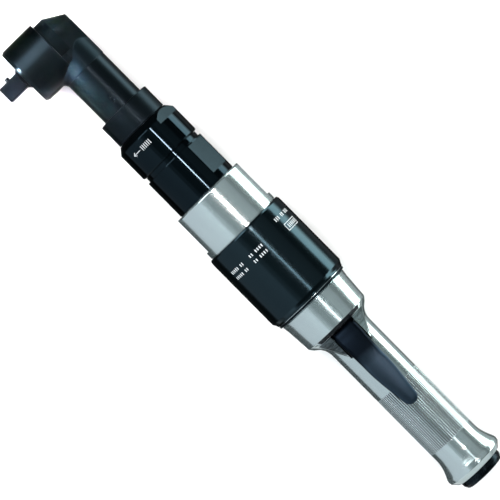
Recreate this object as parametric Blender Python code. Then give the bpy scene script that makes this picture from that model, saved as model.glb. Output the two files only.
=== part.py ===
"""Right-angle pneumatic nutrunner ("air ratchet" family), built as an assembly of its real pieces.

Row frame, metres: the origin is the middle of the square drive's end face. The drive points along -Y.
The tool axis runs along +X from the angle head to the air inlet, AXIS_Y above the origin.
+Z is the side that carries the throttle lever. All numbers below are millimetres until `mm` is applied.
"""

import math

import bmesh
import bpy
from mathutils import Matrix, Vector

MILLIMETRE = 0.001
GAP = 0.3                 # clearance left between pieces that touch
AXIS_Y = 40.3             # height of the tool axis above the drive's end face

# Steps around a full turn
FINE = 28
MEDIUM = 20
COARSE = 12

# Angle head
DRIVE_SQUARE = 9.525      # 3/8 inch square drive
DRIVE_LENGTH = 12.3
HEAD_RADIUS = 17.65
HEAD_BOTTOM_Y = 13.8
HEAD_LEDGE_Y = 35.9
HEAD_UPPER_RADIUS = 15.6
HEAD_CONE_Y = 42.3
HEAD_TOP_Y = 53.3
HEAD_TOP_RADIUS = 9.0
NECK_ROOT_X = 7.0         # the forging keeps its full radius beyond here, towards the neck
NECK_ROOT_Y = 38.9
NECK_RADIUS = 12.8
NECK_BOSS_RADIUS = 13.0
NECK_BORE = 9.5
NECK_FLANGE_RADIUS = 15.5
PILOT_RADIUS = 12.0
DETENT_Y = 6.8
DETENT_BORE = 1.6

# Coupling nut and gear case
NUT_START = 62.0
NUT_END = 83.0
NUT_RADIUS = 19.25
NUT_FLAT = 16.7
CASE_RADIUS = 19.15
CASE_FLAT = 17.5
CASE_START = 70.5
CASE_SHOULDER = 86.1
CASE_REAR = 110.6
SPIGOT_END = 116.0
SPIGOT_RADIUS = 18.8
FLAT_TURN = -54.0         # the milled flats face 54 degrees from +Z towards +Y

# Motor housing, sleeve and handle
HOUSING_START = 110.9
HOUSING_RADIUS = 23.2
HOUSING_BORE = 19.1
HOUSING_FLAT = 21.85
HOUSING_END = 190.1
SLEEVE_START = 138.3
SLEEVE_RADIUS = 25.0
GRIP_RADIUS = 13.9
HANDLE_END = 315.6
HANDLE_BORE = 11.0
VALVE_X = 226.0
PIVOT_X = 213.5
PIVOT_Z = 14.0
PIVOT_BORE = 1.8
SLOT_HALF_WIDTH = 7.8
SLOT_FLOOR = 11.0
EXHAUST_BORE = 2.2
EXHAUST_OFFSET = 9.0

# Planetary gears
MODULE = 0.667
SUN_TEETH = 12
PLANET_TEETH = 15
RING_TEETH = 42
PLANET_ORBIT = 9.0
PLANETS = 3
SPUR_THINNING = 0.09      # taken off each flank at the pitch circle
PLANET_BORE = 2.1

# Bevel gears, teeth given on the back cone
PINION_TEETH = 11
GEAR_TEETH = 16
BEVEL_MODULE = 1.15
BEVEL_SMALL_END = 0.677
BEVEL_ADDENDUM = 0.9
BEVEL_DEDENDUM = 1.25
BEVEL_THINNING = 0.14
PRESSURE_ANGLE = math.radians(20.0)

# Air motor
ROTOR_RADIUS = 13.0
LINER_BORE = 14.6
LINER_OFFSET = 1.3
VANES = 5
ROTOR_START = 123.4
ROTOR_END = 162.3
SLOT_BOTTOM = 5.2

COLOURS = {
    "black_oxide": ((0.012, 0.014, 0.018), 0.32, 0.9),
    "satin_silver": ((0.62, 0.64, 0.66), 0.22, 1.0),
    "black_sleeve": ((0.010, 0.012, 0.016), 0.35, 0.6),
    "lever_black": ((0.03, 0.035, 0.05), 0.38, 0.7),
    "gear_steel": ((0.36, 0.36, 0.37), 0.30, 1.0),
    "bearing_steel": ((0.60, 0.60, 0.62), 0.16, 1.0),
    "drive_steel": ((0.16, 0.16, 0.17), 0.34, 1.0),
    "bronze": ((0.44, 0.27, 0.10), 0.36, 1.0),
    "iron_liner": ((0.26, 0.26, 0.27), 0.42, 1.0),
    "vane_phenolic": ((0.22, 0.10, 0.03), 0.60, 0.0),
    "spring_steel": ((0.42, 0.42, 0.44), 0.26, 1.0),
    "felt_grey": ((0.30, 0.29, 0.27), 0.95, 0.0),
    "seal_rubber": ((0.015, 0.015, 0.015), 0.70, 0.0),
}


# ---------------------------------------------------------------- scene and materials


def clear_scene():
    for obj in list(bpy.data.objects):
        bpy.data.objects.remove(obj)


def new_collection(name, is_helper):
    collection = bpy.data.collections.new(name)
    bpy.context.scene.collection.children.link(collection)
    collection.hide_render = is_helper
    return collection


def make_material(slot):
    colour, roughness, metallic = COLOURS[slot]
    made = bpy.data.materials.new(slot)
    made.use_nodes = True
    shader = made.node_tree.nodes["Principled BSDF"]
    shader.inputs["Base Color"].default_value = (*colour, 1.0)
    shader.inputs["Roughness"].default_value = roughness
    shader.inputs["Metallic"].default_value = metallic
    made.diffuse_color = (*colour, 1.0)
    return made


# ---------------------------------------------------------------- placing


def along_tool(x=0.0, y=AXIS_Y, z=0.0):
    """Local +Z becomes +X of the row, with the origin on the tool axis."""
    spot = Matrix.Translation(Vector((x, y, z)) * MILLIMETRE)
    return spot @ Matrix.Rotation(math.radians(90.0), 4, "Y")


def along_head(x=0.0, y=0.0, z=0.0):
    """Local +Z becomes +Y of the row."""
    spot = Matrix.Translation(Vector((x, y, z)) * MILLIMETRE)
    return spot @ Matrix.Rotation(math.radians(-90.0), 4, "X")


def down_head(x=0.0, y=AXIS_Y, z=0.0):
    """Local +Z becomes -Y of the row."""
    spot = Matrix.Translation(Vector((x, y, z)) * MILLIMETRE)
    return spot @ Matrix.Rotation(math.radians(90.0), 4, "X")


def upright(x=0.0, y=AXIS_Y, z=0.0):
    return Matrix.Translation(Vector((x, y, z)) * MILLIMETRE)


def orbit_spot(angle):
    """Where a planet's axis crosses the plane x = 0, for an angle in the gears' own local plane."""
    return AXIS_Y + PLANET_ORBIT * math.sin(angle), -PLANET_ORBIT * math.cos(angle)


# ---------------------------------------------------------------- shapes


def finish(name, shape, place, slot, smooth=True):
    """Turn a bmesh in millimetres into an object, faces outward. A slot of None makes a hidden helper."""
    bmesh.ops.recalc_face_normals(shape, faces=shape.faces)
    bmesh.ops.scale(shape, vec=(MILLIMETRE,) * 3, verts=shape.verts)
    mesh = bpy.data.meshes.new(name)
    shape.to_mesh(mesh)
    shape.free()
    for face in mesh.polygons:
        face.use_smooth = smooth
    if smooth:
        mesh.set_sharp_from_angle(angle=math.radians(35.0))
    obj = bpy.data.objects.new(name, mesh)
    obj.matrix_world = place
    if slot is None:
        helpers.objects.link(obj)
        obj.hide_render = True
        obj.display_type = "WIRE"
    else:
        parts.objects.link(obj)
        mesh.materials.append(materials[slot])
    return obj


def spin_profile(name, points, closed, place, slot, steps):
    shape = bmesh.new()
    verts = [shape.verts.new((radius, 0.0, height)) for height, radius in points]
    pairs = list(zip(verts, verts[1:]))
    if closed:
        pairs.append((verts[-1], verts[0]))
    edges = [shape.edges.new(pair) for pair in pairs]
    bmesh.ops.spin(shape, geom=verts + edges, cent=(0, 0, 0), axis=(0, 0, 1),
                   angle=math.tau, steps=steps, use_merge=True)
    bmesh.ops.remove_doubles(shape, verts=shape.verts, dist=0.001)
    return finish(name, shape, place, slot)


def turned(name, profile, place, slot, steps=FINE):
    """Solid of revolution. The profile lists (height, radius) from one end to the other, ends included."""
    points = [(profile[0][0], 0.0), *profile, (profile[-1][0], 0.0)]
    return spin_profile(name, points, False, place, slot, steps)


def ring(name, outer, inner, place, slot, steps=FINE):
    """Hollow solid of revolution: outer and inner lists of (height, radius), both by rising height."""
    return spin_profile(name, [*outer, *reversed(inner)], True, place, slot, steps)


def plain_ring(name, start, end, outer, inner, place, slot, steps=MEDIUM):
    return ring(name, [(start, outer), (end, outer)], [(start, inner), (end, inner)],
                place, slot, steps)


def block(name, low, high, place, slot=None):
    shape = bmesh.new()
    bmesh.ops.create_cube(shape, size=1.0)
    size = Vector(high) - Vector(low)
    bmesh.ops.scale(shape, vec=size, verts=shape.verts)
    bmesh.ops.translate(shape, vec=(Vector(low) + Vector(high)) / 2, verts=shape.verts)
    return finish(name, shape, place, slot, smooth=False)


def loft(name, rings, chain, place, slot, smooth=False):
    """Skin equal rings of points. A chain joins the last ring to the first, otherwise both ends are capped."""
    shape = bmesh.new()
    rows = [[shape.verts.new(point) for point in points] for points in rings]
    pairs = list(zip(rows, rows[1:]))
    if chain:
        pairs.append((rows[-1], rows[0]))
    count = len(rows[0])
    for first, second in pairs:
        for i in range(count):
            j = (i + 1) % count
            shape.faces.new((first[i], first[j], second[j], second[i]))
    if not chain:
        for row in (rows[0], rows[-1]):
            middle = sum((vert.co for vert in row), Vector()) / count
            centre = shape.verts.new(middle)
            for i in range(count):
                shape.faces.new((row[i], row[(i + 1) % count], centre))
    return finish(name, shape, place, slot, smooth)


def boolean(target, other, operation):
    modifier = target.modifiers.new(other.name, "BOOLEAN")
    modifier.operation = operation
    modifier.solver = "EXACT"
    modifier.object = other
    return target


def cut(target, *cutters):
    for cutter in cutters:
        boolean(target, cutter, "DIFFERENCE")
    return target


def add(target, *pieces):
    for piece in pieces:
        boolean(target, piece, "UNION")
    return target


def bore_cutter(name, start, end, radius, place, steps=COARSE):
    return turned(name, [(start, radius), (end, radius)], place, None, steps)


def flat_cutters(name, start, end, distance, turn):
    """Two blocks that mill a pair of opposite flats, at this distance from the tool axis."""
    made = []
    reach = 40.0
    for side, extra in (("near", 0.0), ("far", 180.0)):
        place = upright() @ Matrix.Rotation(math.radians(turn + extra), 4, "X")
        made.append(block(f"{name}_{side}", (start, -reach, distance), (end, reach, reach), place))
    return made


def coil(name, turns, start, end, radius, wire, place, slot):
    """Compression spring as a poly curve with a round bevel."""
    per_turn = 8
    curve = bpy.data.curves.new(name, "CURVE")
    curve.dimensions = "3D"
    curve.bevel_depth = wire * MILLIMETRE
    curve.bevel_resolution = 2
    curve.use_fill_caps = True
    line = curve.splines.new("POLY")
    count = turns * per_turn
    line.points.add(count)
    for i in range(count + 1):
        angle = math.tau * i / per_turn
        height = start + (end - start) * i / count
        spot = Vector((radius * math.cos(angle), radius * math.sin(angle), height)) * MILLIMETRE
        line.points[i].co = (*spot, 1.0)
    obj = bpy.data.objects.new(name, curve)
    obj.matrix_world = place
    parts.objects.link(obj)
    curve.materials.append(materials[slot])
    return obj


# ---------------------------------------------------------------- gear teeth


def involute(angle):
    return math.tan(angle) - angle


def half_tooth_angle(radius, pitch, teeth, thinning):
    """Half the angle that a tooth fills at this radius, on a gear of this pitch radius."""
    base = pitch * math.cos(PRESSURE_ANGLE)
    at_radius = math.acos(min(1.0, base / max(radius, base)))
    at_pitch = math.pi / (2 * teeth) - thinning / pitch
    return at_pitch + involute(PRESSURE_ANGLE) - involute(at_radius)


def spur_outline(teeth, inside, phase):
    """(radius, angle) around a spur gear, four points a tooth. An inside gear's teeth point inward."""
    pitch = MODULE * teeth / 2
    addendum = 0.8 * MODULE
    dedendum = 1.25 * MODULE
    points = []
    for i in range(teeth):
        middle = phase + math.tau * i / teeth
        if inside:
            # The space of an inside gear has the shape of an outside gear's tooth, made wider.
            near, far = pitch - addendum, pitch + dedendum
            thinning = -SPUR_THINNING
        else:
            near, far = pitch - dedendum, pitch + addendum
            thinning = SPUR_THINNING
        wide = half_tooth_angle(near, pitch, teeth, thinning)
        narrow = half_tooth_angle(far, pitch, teeth, thinning)
        points += [(near, middle - wide), (far, middle - narrow), (far, middle + narrow), (near, middle + wide)]
    return points


def spur_gear(name, teeth, inside, phase, start, end, wall, wall_steps, place, slot="gear_steel"):
    """A spur gear with a bore, or an inside gear with an outer wall, of radius `wall`."""
    shape = bmesh.new()
    circle = [(wall, math.tau * i / wall_steps) for i in range(wall_steps)]
    edges = []
    for loop in (spur_outline(teeth, inside, phase), circle):
        verts = [shape.verts.new((r * math.cos(a), r * math.sin(a), start)) for r, a in loop]
        edges += [shape.edges.new(pair) for pair in zip(verts, verts[1:] + verts[:1])]
    bmesh.ops.triangle_fill(shape, edges=edges, use_beauty=True)
    made = bmesh.ops.extrude_face_region(shape, geom=shape.faces[:], use_keep_orig=True)
    top = [item for item in made["geom"] if isinstance(item, bmesh.types.BMVert)]
    bmesh.ops.translate(shape, vec=(0, 0, end - start), verts=top)
    return finish(name, shape, place, slot, smooth=False)


def bevel_outline(teeth, mate_teeth, phase):
    """Points of a bevel gear's big end on its back cone, apex at the origin and axis along +Z."""
    pitch = BEVEL_MODULE * teeth / 2
    cone = math.atan2(teeth, mate_teeth)
    apex_distance = BEVEL_MODULE * mate_teeth / 2
    virtual_pitch = pitch / math.cos(cone)
    virtual_teeth = teeth / math.cos(cone)
    levels = (-BEVEL_DEDENDUM, BEVEL_ADDENDUM)
    points = []
    for i in range(teeth):
        middle = phase + math.tau * i / teeth
        for side in (-1, 1):
            for level in levels[::-side]:
                turn = half_tooth_angle(virtual_pitch + level, virtual_pitch, virtual_teeth, BEVEL_THINNING)
                angle = middle + side * turn / math.cos(cone)
                radius = pitch + level * math.cos(cone)
                height = apex_distance - level * math.sin(cone)
                points.append((radius, angle, height))
    return points


def bevel_rings(outline):
    """Small-end ring and big-end ring."""
    big = [Vector((r * math.cos(a), r * math.sin(a), h)) for r, a, h in outline]
    return [point * BEVEL_SMALL_END for point in big], big


def ring_at(outline, radius, height):
    return [(radius * math.cos(a), radius * math.sin(a), height) for _, a, _ in outline]


# ---------------------------------------------------------------- angle head


def make_angle_head():
    """Head and neck in one forging, with the flange that the coupling nut pulls on and a rear pilot."""
    body = turned("angle_head", [(HEAD_BOTTOM_Y, HEAD_RADIUS), (HEAD_LEDGE_Y, HEAD_RADIUS),
                                 (HEAD_LEDGE_Y, HEAD_UPPER_RADIUS), (HEAD_CONE_Y, HEAD_UPPER_RADIUS),
                                 (HEAD_TOP_Y, HEAD_TOP_RADIUS)], along_head(), "black_oxide")
    root = turned("neck_root", [(HEAD_LEDGE_Y - 1, HEAD_RADIUS - 0.1), (NECK_ROOT_Y, HEAD_RADIUS - 0.1),
                                (HEAD_TOP_Y - 1, HEAD_TOP_RADIUS)], along_head(), None)
    cut(root, block("neck_root_limit", (-20.0, 30.0, -20.0), (NECK_ROOT_X, 60.0, 20.0), Matrix.Identity(4)))
    neck = turned("neck_form", [(1.0, NECK_BOSS_RADIUS), (19.6, NECK_BOSS_RADIUS), (19.8, NECK_RADIUS),
                                (66.0, NECK_RADIUS), (66.0, NECK_FLANGE_RADIUS), (70.2, NECK_FLANGE_RADIUS),
                                (70.2, PILOT_RADIUS), (78.0, PILOT_RADIUS)], along_tool(), None)
    chamber = turned("spindle_chamber", [(HEAD_BOTTOM_Y - 1, 13.6), (16.4, 13.6), (16.4, 13.3), (22.9, 13.3),
                                         (22.9, 11.5), (44.3, 11.5), (44.3, 5.5), (51.6, 5.5)],
                     along_head(), None, MEDIUM)
    pinion_room = turned("pinion_room", [(5.6, 7.7), (12.0, 7.7), (12.0, NECK_BORE), (79.0, NECK_BORE)],
                         along_tool(), None, MEDIUM)
    add(body, root, neck)
    cut(body, chamber, pinion_room)


def make_neck_collar():
    collar = ring("neck_collar", [(47.7, 15.6), (48.2, 16.0), (61.2, 16.0), (61.7, 15.6)],
                  [(47.7, 13.1), (61.7, 13.1)], along_tool(), "black_oxide")
    screw_spot = along_head(54.6, AXIS_Y, 0.0)
    cut(collar, bore_cutter("collar_screw_hole", -18.0, -10.0, 2.0, screw_spot))
    turned("collar_set_screw", [(-15.7, 1.7), (-13.3, 1.7)], screw_spot, "bearing_steel", COARSE)


def make_coupling_nut():
    nut = ring("coupling_nut", [(NUT_START, 16.2), (65.7, NUT_RADIUS), (82.4, NUT_RADIUS), (NUT_END, 18.7)],
               [(NUT_START, 13.2), (65.7, 13.2), (65.7, 15.8), (70.2, 15.8), (70.2, 17.5), (NUT_END, 17.5)],
               along_tool(), "black_oxide")
    cut(nut, *flat_cutters("nut_flat", NUT_START - 1, 68.4, NUT_FLAT, FLAT_TURN))


def make_nose_bearing():
    """Deep-groove bearing of the output spindle, its retaining ring and the bush at the other end."""
    plain_ring("nose_bearing_outer", 16.7, 22.6, 13.0, 11.6, along_head(), "bearing_steel")
    plain_ring("nose_bearing_inner", 16.7, 22.6, 8.6, 7.1, along_head(), "bearing_steel")
    cage = plain_ring("nose_bearing_balls", 18.9, 20.4, 10.6, 9.6, along_head(), "bearing_steel")
    balls = bmesh.new()
    count = 8
    for i in range(count):
        turn = Matrix.Rotation(math.tau * i / count, 4, "Z")
        spot = turn @ Matrix.Translation((10.1, 0.0, 19.65))
        bmesh.ops.create_uvsphere(balls, u_segments=6, v_segments=4, radius=1.2, matrix=spot)
    add(cage, finish("ball_forms", balls, along_head(), None))
    ring("bearing_retainer", [(14.0, 13.3), (16.4, 13.3)], [(14.0, 7.4), (16.4, 7.4)],
         along_head(), "black_oxide", MEDIUM)
    plain_ring("top_bushing", 48.2, 51.3, 5.2, 3.9, along_head(), "bronze", COARSE)


def make_spindle():
    """Output spindle with its 3/8 inch square, the spring detent in the square, and the driven gear."""
    half = DRIVE_SQUARE / 2
    spindle = turned("square_spindle", [(11.9, 5.0), (13.5, 6.5), (13.5, 6.8), (24.0, 6.8), (24.0, 5.2),
                                        (34.5, 5.2), (34.5, 3.6), (51.0, 3.6)], along_head(), "drive_steel", MEDIUM)
    square = block("square_form", (-half, -half, 0.0), (half, half, DRIVE_LENGTH), along_head())
    detent_spot = along_tool(0.0, DETENT_Y, 0.0)
    add(spindle, square)
    cut(spindle, bore_cutter("detent_bore", -6.0, 3.0, DETENT_BORE, detent_spot))
    turned("detent_pin", [(-6.66, 0.5), (-5.9, 1.15), (-5.0, 1.3), (-1.5, 1.3)],
           detent_spot, "bearing_steel", COARSE)
    coil("detent_spring", 3, -1.0, 2.5, 0.85, 0.2, detent_spot, "spring_steel")


def make_bevel_gears():
    outline = bevel_outline(PINION_TEETH, GEAR_TEETH, -math.pi / 2)
    small, big = bevel_rings(outline)
    rings = [small, big, ring_at(outline, 5.0, 10.6), ring_at(outline, 5.0, 13.6),
             ring_at(outline, 4.0, 13.6), ring_at(outline, 4.0, 89.0)]
    loft("bevel_pinion", rings, False, along_tool(), "gear_steel")
    outline = bevel_outline(GEAR_TEETH, PINION_TEETH, math.pi / GEAR_TEETH)
    small, big = bevel_rings(outline)
    rings = [small, big, ring_at(outline, 7.4, 12.0), ring_at(outline, 5.5, 12.0), ring_at(outline, 5.5, 5.0)]
    loft("driven_gear", rings, True, down_head(), "gear_steel")


def make_pinion_bearings():
    plain_ring("pinion_front_bearing", 14.0, 21.0, 9.2, 4.3, along_tool(), "bearing_steel")
    plain_ring("pinion_spacer", 21.3, 59.7, 9.2, 7.8, along_tool(), "iron_liner")
    plain_ring("pinion_rear_bearing", 60.0, 67.0, 9.2, 4.3, along_tool(), "bearing_steel")


# ---------------------------------------------------------------- gear case


def make_gear_case():
    case = ring("gear_case", [(CASE_START, 17.2), (83.3, 17.2), (83.3, 17.8), (CASE_SHOULDER, 17.8),
                              (CASE_SHOULDER, 18.7), (86.6, CASE_RADIUS), (CASE_REAR, CASE_RADIUS),
                              (CASE_REAR, SPIGOT_RADIUS), (SPIGOT_END, SPIGOT_RADIUS)],
                [(CASE_START, 12.3), (78.3, 12.3), (78.3, 8.0), (88.8, 8.0), (88.8, 13.8), (97.3, 13.8),
                 (97.3, 16.5), (SPIGOT_END, 16.5)], along_tool(), "black_oxide")
    cut(case, *flat_cutters("case_flat", 87.0, 106.0, CASE_FLAT, FLAT_TURN))


def make_planetary():
    spur_gear("ring_gear", RING_TEETH, True, 0.0, 102.3, 112.3, 16.2, FINE, along_tool())
    plain_ring("carrier_bearing", 89.1, 97.0, 13.5, 7.3, along_tool(), "bearing_steel")
    carrier = ring("planet_carrier", [(79.5, 7.0), (98.3, 7.0), (98.3, 13.2), (102.0, 13.2)],
                   [(79.5, 4.4), (90.0, 4.4), (90.0, 1.5), (102.0, 1.5)], along_tool(), "gear_steel", MEDIUM)
    for i in range(PLANETS):
        angle = math.tau * i / PLANETS
        y, z = orbit_spot(angle)
        place = along_tool(0.0, y, z)
        cut(carrier, bore_cutter(f"pin_hole_{i + 1}", 97.0, 104.0, PLANET_BORE, place))
        turned(f"planet_pin_{i + 1}", [(98.4, 1.8), (112.4, 1.8)], place, "bearing_steel", COARSE)
        spur_gear(f"planet_gear_{i + 1}", PLANET_TEETH, False, angle, 102.7, 111.9, PLANET_BORE, COARSE, place)
    spur_gear("sun_gear", SUN_TEETH, False, 0.0, 102.8, 112.0, 2.5, COARSE, along_tool())


# ---------------------------------------------------------------- air motor


def make_motor_housing():
    housing = ring("motor_housing", [(HOUSING_START, 22.4), (111.7, HOUSING_RADIUS),
                                     (SLEEVE_START - 0.3, HOUSING_RADIUS), (SLEEVE_START - 0.3, 22.6),
                                     (HOUSING_END, 22.6)],
                   [(HOUSING_START, HOUSING_BORE), (HOUSING_END, HOUSING_BORE)], along_tool(), "satin_silver")
    cut(housing, *flat_cutters("housing_flat", HOUSING_START - 1, 134.0, HOUSING_FLAT, -90.0))


def make_end_plates():
    ring("front_end_plate", [(116.3, SPIGOT_RADIUS), (122.8, SPIGOT_RADIUS)],
         [(116.3, 8.3), (121.3, 8.3), (121.3, 3.9), (122.8, 3.9)], along_tool(), "iron_liner")
    plain_ring("rotor_front_bearing", 116.5, 121.0, 8.0, 3.8, along_tool(), "bearing_steel")
    ring("rear_end_plate", [(162.9, SPIGOT_RADIUS), (169.4, SPIGOT_RADIUS)],
         [(162.9, 3.9), (164.4, 3.9), (164.4, 8.3), (169.4, 8.3)], along_tool(), "iron_liner")
    plain_ring("rotor_rear_bearing", 164.7, 169.2, 8.0, 3.8, along_tool(), "bearing_steel")


def make_cylinder_liner():
    """Cylinder with its bore offset towards +Z and three exhaust slots through that side."""
    liner = turned("cylinder_liner", [(123.1, SPIGOT_RADIUS), (162.6, SPIGOT_RADIUS)], along_tool(), "iron_liner")
    cut(liner, bore_cutter("liner_bore", 122.0, 164.0, LINER_BORE, along_tool(0.0, AXIS_Y, LINER_OFFSET), 30))
    for i in range(3):
        start = 130.0 + 10.0 * i
        cut(liner, block(f"exhaust_slot_{i + 1}", (start, -3.7, 8.0), (start + 5.0, 3.7, 24.0), upright()))


def make_rotor():
    rotor = turned("rotor", [(102.9, 2.2), (112.6, 2.2), (112.6, 3.5), (ROTOR_START, 3.5),
                             (ROTOR_START, ROTOR_RADIUS), (ROTOR_END, ROTOR_RADIUS), (ROTOR_END, 3.5),
                             (169.0, 3.5)], along_tool(), "gear_steel", 30)
    for i in range(VANES):
        place = along_tool() @ Matrix.Rotation(math.tau * (i + 0.5) / VANES, 4, "Z")
        slot = block(f"vane_slot_{i + 1}", (SLOT_BOTTOM, -1.1, ROTOR_START - 1),
                     (ROTOR_RADIUS + 2, 1.1, ROTOR_END + 1), place)
        cut(rotor, slot)
        block(f"vane_{i + 1}", (SLOT_BOTTOM + GAP, -0.8, ROTOR_START + 0.1),
              (ROTOR_RADIUS - 0.1, 0.8, ROTOR_END - 0.1), place, "vane_phenolic")


# ---------------------------------------------------------------- handle


def boss_ring(x, radius, centre):
    count = MEDIUM
    points = []
    for i in range(count):
        angle = math.tau * i / count
        points.append((x, radius * math.cos(angle), centre + radius * math.sin(angle)))
    return points


def make_throttle_boss():
    """The raised side of the handle that carries the lever: circles that shrink and rise along the tool."""
    sections = [(204.0, 17.0, 0.0), (208.0, 20.2, 0.0), (210.6, 18.2, 1.8), (212.8, 16.0, 3.2),
                (216.8, 12.7, 5.2), (221.5, 11.0, 5.5), (226.3, 9.6, 5.5), (231.5, 7.8, 5.0)]
    return loft("throttle_boss", [boss_ring(*section) for section in sections], False, upright(), None, True)


def make_handle():
    handle = spin_profile("handle", [(200.0, 0.0), (200.0, 14.5), (169.7, 14.5), (169.7, SPIGOT_RADIUS),
                                     (190.4, SPIGOT_RADIUS), (190.4, 22.1), (194.5, 21.5), (208.6, 20.6),
                                     (210.6, 18.8), (212.6, 16.3), (215.0, 14.8), (218.6, GRIP_RADIUS),
                                     (299.5, GRIP_RADIUS), (303.0, 14.6), (310.5, 17.4), (312.3, 17.4),
                                     (HANDLE_END, 14.4), (HANDLE_END, HANDLE_BORE), (241.0, HANDLE_BORE),
                                     (241.0, 7.3), (232.0, 7.3), (232.0, 0.0)],
                          False, along_tool(), "satin_silver", FINE)
    valve_bore = turned("valve_bore", [(-16.0, 5.0), (8.0, 5.0), (8.0, 3.2), (14.0, 3.2)],
                        upright(VALVE_X), None, COARSE)
    slot = block("lever_slot", (208.3, -SLOT_HALF_WIDTH, SLOT_FLOOR), (233.0, SLOT_HALF_WIDTH, 30.0), upright())
    cross_slot = block("cross_slot", (208.3, -30.0, 14.0), (210.4, 30.0, 30.0), upright())
    pivot_hole = bore_cutter("pivot_hole", -30.0, 30.0, PIVOT_BORE, along_head(PIVOT_X, AXIS_Y, PIVOT_Z))
    inlet_port = bore_cutter("inlet_port", 224.0, 233.0, 3.6, along_tool(0.0, AXIS_Y, -3.0))
    feed_port = bore_cutter("feed_port", 199.0, 224.0, 2.6, along_tool(0.0, AXIS_Y, 5.2))
    add(handle, make_throttle_boss())
    cut(handle, valve_bore, slot, cross_slot, pivot_hole, inlet_port, feed_port)
    for side in (-1, 1):
        place = along_tool(0.0, AXIS_Y + side * EXHAUST_OFFSET, 0.0)
        cut(handle, bore_cutter(f"exhaust_way_{side + 2}", 199.0, 242.0, EXHAUST_BORE, place))


def make_sleeve():
    ring("grip_sleeve", [(SLEEVE_START, 24.3), (139.6, SLEEVE_RADIUS), (185.4, SLEEVE_RADIUS), (187.4, 23.8),
                         (188.5, 23.5)], [(SLEEVE_START, 22.9), (188.5, 22.9)], along_tool(), "black_sleeve")
    plain_ring("sleeve_lock_ring", 188.8, 190.0, 23.2, 22.9, along_tool(), "black_sleeve", FINE)


def make_tail():
    """Air tube, muffler, inlet bushing with its screen, and the black exhaust deflector round it."""
    plain_ring("air_tube", 232.3, 294.6, 7.0, 5.6, along_tool(), "bronze")
    plain_ring("exhaust_muffler", 262.0, 294.6, 10.7, 7.4, along_tool(), "felt_grey")
    ring("inlet_bushing", [(295.0, 10.7), (303.0, 10.7), (303.0, 8.0), (320.9, 8.0)],
         [(295.0, 4.8), (299.0, 4.8), (299.0, 6.2), (320.9, 6.2)], along_tool(), "gear_steel", MEDIUM)
    ring("exhaust_deflector", [(303.4, 10.7), (HANDLE_END + GAP, 10.7), (HANDLE_END + GAP, 13.1), (318.4, 12.9),
                               (320.2, 12.0), (320.6, 11.0)],
         [(303.4, 8.3), (320.6, 8.3)], along_tool(), "black_oxide", FINE)


def flat_disc_with_holes(name, radius, hole_radius, hole_orbit, thickness, place, slot):
    """Disc with one hole in the middle and six round it, as a flat curve."""
    curve = bpy.data.curves.new(name, "CURVE")
    curve.dimensions = "2D"
    curve.fill_mode = "BOTH"
    curve.extrude = thickness * MILLIMETRE / 2
    circles = [(0.0, 0.0, radius, 24), (0.0, 0.0, hole_radius, 8)]
    for i in range(6):
        angle = math.tau * i / 6
        circles.append((hole_orbit * math.cos(angle), hole_orbit * math.sin(angle), hole_radius, 8))
    for x, y, size, count in circles:
        line = curve.splines.new("POLY")
        line.points.add(count - 1)
        line.use_cyclic_u = True
        for i in range(count):
            angle = math.tau * i / count
            spot = Vector((x + size * math.cos(angle), y + size * math.sin(angle), 0.0)) * MILLIMETRE
            line.points[i].co = (*spot, 1.0)
    obj = bpy.data.objects.new(name, curve)
    obj.matrix_world = place
    parts.objects.link(obj)
    curve.materials.append(materials[slot])
    return obj


def make_inlet_screen():
    flat_disc_with_holes("inlet_screen", 5.9, 0.9, 3.4, 0.5, along_tool(299.6), "bronze")


# ---------------------------------------------------------------- throttle


def make_valve():
    """Tip valve: seat, stem with poppet, return spring, stem seal and the plug that closes the bore."""
    place = upright(VALVE_X)
    seat = plain_ring("valve_seat", 2.8, 7.7, 4.7, 2.6, place, "bronze", COARSE)
    cut(seat, bore_cutter("seat_window", 219.0, VALVE_X, 1.8, along_tool(0.0, AXIS_Y, 5.2)))
    turned("valve_stem", [(-4.5, 1.5), (-1.2, 1.5), (-1.2, 4.2), (2.4, 4.2), (2.4, 2.0), (16.1, 2.0)],
           place, "bearing_steel", COARSE)
    plain_ring("stem_seal", 8.3, 10.7, 2.9, 2.3, place, "seal_rubber", COARSE)
    coil("valve_spring", 4, -8.7, -1.9, 3.1, 0.4, place, "spring_steel")
    turned("valve_cap", [(-13.2, 4.3), (-12.8, 4.7), (-9.4, 4.7)], place, "gear_steel", COARSE)


def lever_ring(x, half, bottom, top, chamfer):
    return [(x, -half, bottom), (x, half, bottom), (x, half, top - chamfer), (x, half - chamfer, top),
            (x, -half + chamfer, top), (x, -half, top - chamfer)]


def make_lever():
    """Throttle lever: a deep root on the pivot pin, then a long blade that narrows to a rounded tip."""
    sections = [(210.9, 7.4, 11.5, 16.4, 0.8), (213.0, 7.4, 11.5, 18.0, 1.0), (216.5, 7.4, 11.5, 19.4, 1.1),
                (219.0, 7.4, 13.0, 20.4, 1.1), (223.2, 6.9, 16.5, 21.8, 1.1), (229.0, 6.7, 16.6, 23.4, 1.1),
                (233.0, 6.6, 18.6, 24.2, 1.1), (240.0, 6.5, 21.2, 25.2, 1.1), (248.0, 5.9, 21.8, 25.9, 1.0),
                (258.0, 4.8, 22.0, 26.2, 0.9), (263.6, 4.1, 21.8, 25.8, 0.8), (265.8, 2.9, 21.6, 25.2, 0.6),
                (267.0, 1.2, 21.7, 24.6, 0.4)]
    lever = loft("throttle_lever", [lever_ring(*section) for section in sections], False, upright(),
                 "lever_black", True)
    pivot = along_head(PIVOT_X, AXIS_Y, PIVOT_Z)
    cut(lever, bore_cutter("lever_hole", -12.0, 12.0, PIVOT_BORE, pivot))
    turned("lever_pin", [(-10.2, 1.2), (-9.9, 1.5), (9.9, 1.5), (10.2, 1.2)], pivot, "bearing_steel", COARSE)


# ---------------------------------------------------------------- assembly

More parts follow.
